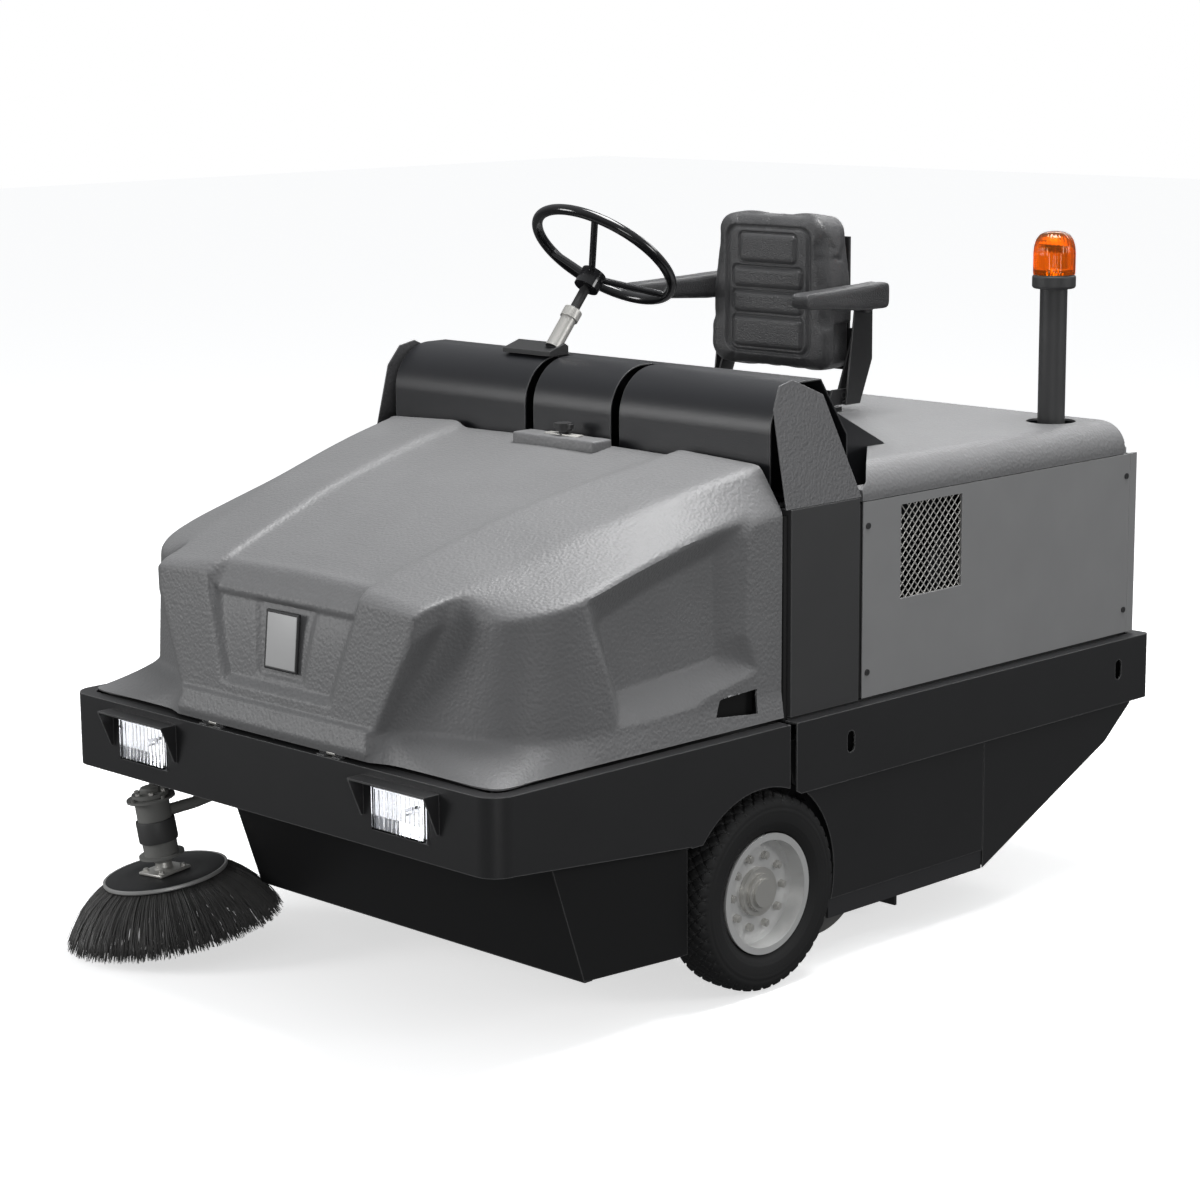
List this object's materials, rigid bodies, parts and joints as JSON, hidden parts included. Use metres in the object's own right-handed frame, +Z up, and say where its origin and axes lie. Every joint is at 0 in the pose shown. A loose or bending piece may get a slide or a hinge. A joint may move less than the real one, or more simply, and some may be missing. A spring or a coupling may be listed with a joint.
{
  "type": "ride-on sweeper",
  "caption": "Ride-on sweeper with a lifting front hopper, side brush, main roller brush, open driver's seat and rear engine bay.",
  "frame": {"origin": "on the ground, at the bottom centre of the whole machine's box", "axes": "+Z up, +Y towards the rear, +X towards the machine's left side"},
  "size_m": [1.6619, 2.5737, 1.8419],
  "materials": {
    "black_steel": "satin black powder coat",
    "panel_grey": "satin grey paint",
    "grey_moulding": "textured mid grey moulding",
    "frame_paint": "dark paint",
    "zinc": "zinc plated",
    "cast_grey": "painted casting",
    "tyre": "rubber",
    "rubber": "rubber",
    "bristle": "stiff plastic bristles",
    "vinyl": "grained vinyl",
    "gloss_black": "gloss",
    "black_plastic": "matt",
    "amber": "amber, ribbed",
    "clear_lens": "clear, ribbed",
    "reflector": "bright",
    "filter_media": "pleated",
    "engine_paint": "painted",
    "aluminium": "bare"
  },
  "bodies": {
    "chassis": {"rear_bumper": "black_steel", "main_frame": "frame_paint", "lower_panels": "black_steel", "cowl": "black_steel", "pillar_panels": "black_steel", "cowl_end_plates": "black_steel", "footwell": "black_steel", "engine_cover": "grey_moulding", "side_panels": "panel_grey", "side_grille": "zinc", "panel_screws": "black_plastic", "rear_panel": "panel_grey", "beacon_pole": "black_plastic", "beacon_dome": "amber", "engine": "engine_paint", "radiator": "aluminium", "fuel_tank_and_battery": "black_plastic", "hydraulics": "frame_paint", "main_brush_housing": "frame_paint", "seat_plinth": "black_plastic", "steering_column": "zinc"},
    "hopper": {"front_bumper": "black_steel", "hopper_frame": "frame_paint", "dust_container": "frame_paint", "filter_cassettes": "filter_media", "front_skirt": "black_steel", "headlight_visors": "black_steel", "headlight_housings": "reflector", "headlight_lenses": "clear_lens"},
    "lift_arms": {"lift_arms": "black_steel"},
    "lift_rods": {"lift_ram_rods": "reflector"},
    "hood": {"hood": "grey_moulding", "hood_hinge_leaves": "zinc"},
    "latch": {"latch_knob": "black_plastic"},
    "front_wheel_left": {"front_tyre_left": "tyre", "front_rim_left": "zinc", "front_hub_left": "zinc"},
    "front_wheel_right": {"front_tyre_right": "tyre", "front_rim_right": "zinc", "front_hub_right": "zinc"},
    "rear_yoke": {"rear_yoke": "frame_paint"},
    "rear_wheel": {"rear_wheel": "tyre"},
    "main_brush_arms": {"main_brush_arms": "frame_paint"},
    "main_brush_roller": {"main_brush_roller": "bristle"},
    "side_brush_arm": {"side_brush_arm": "cast_grey", "side_brush_motor": "cast_grey", "side_brush_hoses": "rubber"},
    "side_brush": {"side_brush_disc": "zinc", "side_brush_bristles": "bristle"},
    "beacon_reflector": {"beacon_reflector": "reflector"},
    "cooling_fan": {"cooling_fan": "black_plastic"},
    "seat": {"seat_pan": "black_steel", "seat_cushion": "vinyl"},
    "seat_back": {"seat_back_frame": "black_steel", "backrest_cushion": "vinyl"},
    "armrest_left": {"armrest_left": "vinyl"},
    "armrest_right": {"armrest_right": "vinyl"},
    "steering_wheel": {"steering_wheel": "gloss_black"},
    "drive_pedal": {"drive_pedal": "rubber"},
    "brake_pedal": {"brake_pedal": "rubber"}
  },
  "joints": [
    {"name": "front_wheel_left_spin", "type": "hinge", "parent": "chassis", "child": "front_wheel_left", "pos_m": [0.75696, -0.24711, 0.245], "axis": [1, 0, 0], "continuous": true},
    {"name": "front_wheel_right_spin", "type": "hinge", "parent": "chassis", "child": "front_wheel_right", "pos_m": [-0.66504, -0.24711, 0.245], "axis": [1, 0, 0], "continuous": true},
    {"name": "rear_wheel_steer", "type": "hinge", "parent": "chassis", "child": "rear_yoke", "pos_m": [0.04596, 0.82489, 0.44], "axis": [0, 0, 1], "range_deg": [-75, 75]},
    {"name": "rear_wheel_spin", "type": "hinge", "parent": "rear_yoke", "child": "rear_wheel", "pos_m": [0.04596, 0.82489, 0.195], "axis": [1, 0, 0], "continuous": true},
    {"name": "steering_wheel_turn", "type": "hinge", "parent": "chassis", "child": "steering_wheel", "pos_m": [-0.13604, -0.03311, 1.47], "axis": [0, 0.6428, 0.766], "range_deg": [-540, 540]},
    {"name": "main_brush_swing", "type": "hinge", "parent": "chassis", "child": "main_brush_arms", "pos_m": [0.04596, 0.40489, 0.3], "axis": [-1, 0, 0], "range_deg": [0, 6]},
    {"name": "main_brush_spin", "type": "hinge", "parent": "main_brush_arms", "child": "main_brush_roller", "pos_m": [0.04596, 0.17489, 0.197], "axis": [1, 0, 0], "continuous": true},
    {"name": "side_brush_lift", "type": "hinge", "parent": "chassis", "child": "side_brush_arm", "pos_m": [-0.51554, -0.33711, 0.452], "axis": [-1, 0, 0], "range_deg": [0, 4]},
    {"name": "side_brush_spin", "type": "hinge", "parent": "side_brush_arm", "child": "side_brush", "pos_m": [-0.55404, -1.01511, 0.178], "axis": [-0.0879, -0.1188, 0.989], "continuous": true},
    {"name": "hopper_lift", "type": "hinge", "parent": "chassis", "child": "lift_arms", "pos_m": [0.04596, 0.07489, 1.2], "axis": [-1, 0, 0], "range_deg": [0, 42]},
    {"name": "hopper_tilt", "type": "hinge", "parent": "lift_arms", "child": "hopper", "pos_m": [0.04596, -0.79511, 0.85], "axis": [-1, 0, 0], "range_deg": [-67.2, 0]},
    {"name": "lift_ram_stroke", "type": "slide", "parent": "chassis", "child": "lift_rods", "axis": [0, 0, 1], "range_m": [0, 0.13176]},
    {"name": "hood_tilt", "type": "hinge", "parent": "hopper", "child": "hood", "pos_m": [0.04596, -1.13511, 0.662], "axis": [1, 0, 0], "range_deg": [0, 70]},
    {"name": "latch_turn", "type": "hinge", "parent": "hood", "child": "latch", "pos_m": [0.07696, -0.20011, 1.3], "axis": [0, 0, 1], "range_deg": [0, 90]},
    {"name": "beacon_spin", "type": "hinge", "parent": "chassis", "child": "beacon_reflector", "pos_m": [0.63696, 1.08089, 1.64], "axis": [0, 0, 1], "continuous": true},
    {"name": "cooling_fan_spin", "type": "hinge", "parent": "chassis", "child": "cooling_fan", "pos_m": [0.60596, 0.75489, 0.73], "axis": [1, 0, 0], "continuous": true},
    {"name": "seat_slide", "type": "slide", "parent": "chassis", "child": "seat", "axis": [0, 1, 0], "range_m": [-0.075, 0.075]},
    {"name": "backrest_recline", "type": "hinge", "parent": "seat", "child": "seat_back", "pos_m": [-0.13404, 0.85289, 1.2863], "axis": [-1, 0, 0], "range_deg": [-20, 18]},
    {"name": "armrest_left_fold", "type": "hinge", "parent": "seat", "child": "armrest_left", "pos_m": [0.11696, 0.91989, 1.53], "axis": [-1, 0, 0], "range_deg": [0, 85]},
    {"name": "armrest_right_fold", "type": "hinge", "parent": "seat", "child": "armrest_right", "pos_m": [-0.38504, 0.91989, 1.53], "axis": [-1, 0, 0], "range_deg": [0, 85]},
    {"name": "drive_pedal_press", "type": "hinge", "parent": "chassis", "child": "drive_pedal", "pos_m": [-0.24404, 0.25089, 0.94], "axis": [1, 0, 0], "range_deg": [-12, 12], "stiffness_Nm_per_rad": 40},
    {"name": "brake_pedal_press", "type": "hinge", "parent": "chassis", "child": "brake_pedal", "pos_m": [-0.05904, 0.24089, 0.938], "axis": [1, 0, 0], "range_deg": [0, 14], "stiffness_Nm_per_rad": 40}
  ],
  "couplings": [
    {"joint": "hopper_tilt", "follows": "hopper_lift", "ratio": -1.6},
    {"joint": "lift_ram_stroke", "follows": "hopper_lift", "m_per_rad": 0.17961},
    {"joint": "steering_wheel_turn", "follows": "rear_wheel_steer", "ratio": 7.2}
  ]
}
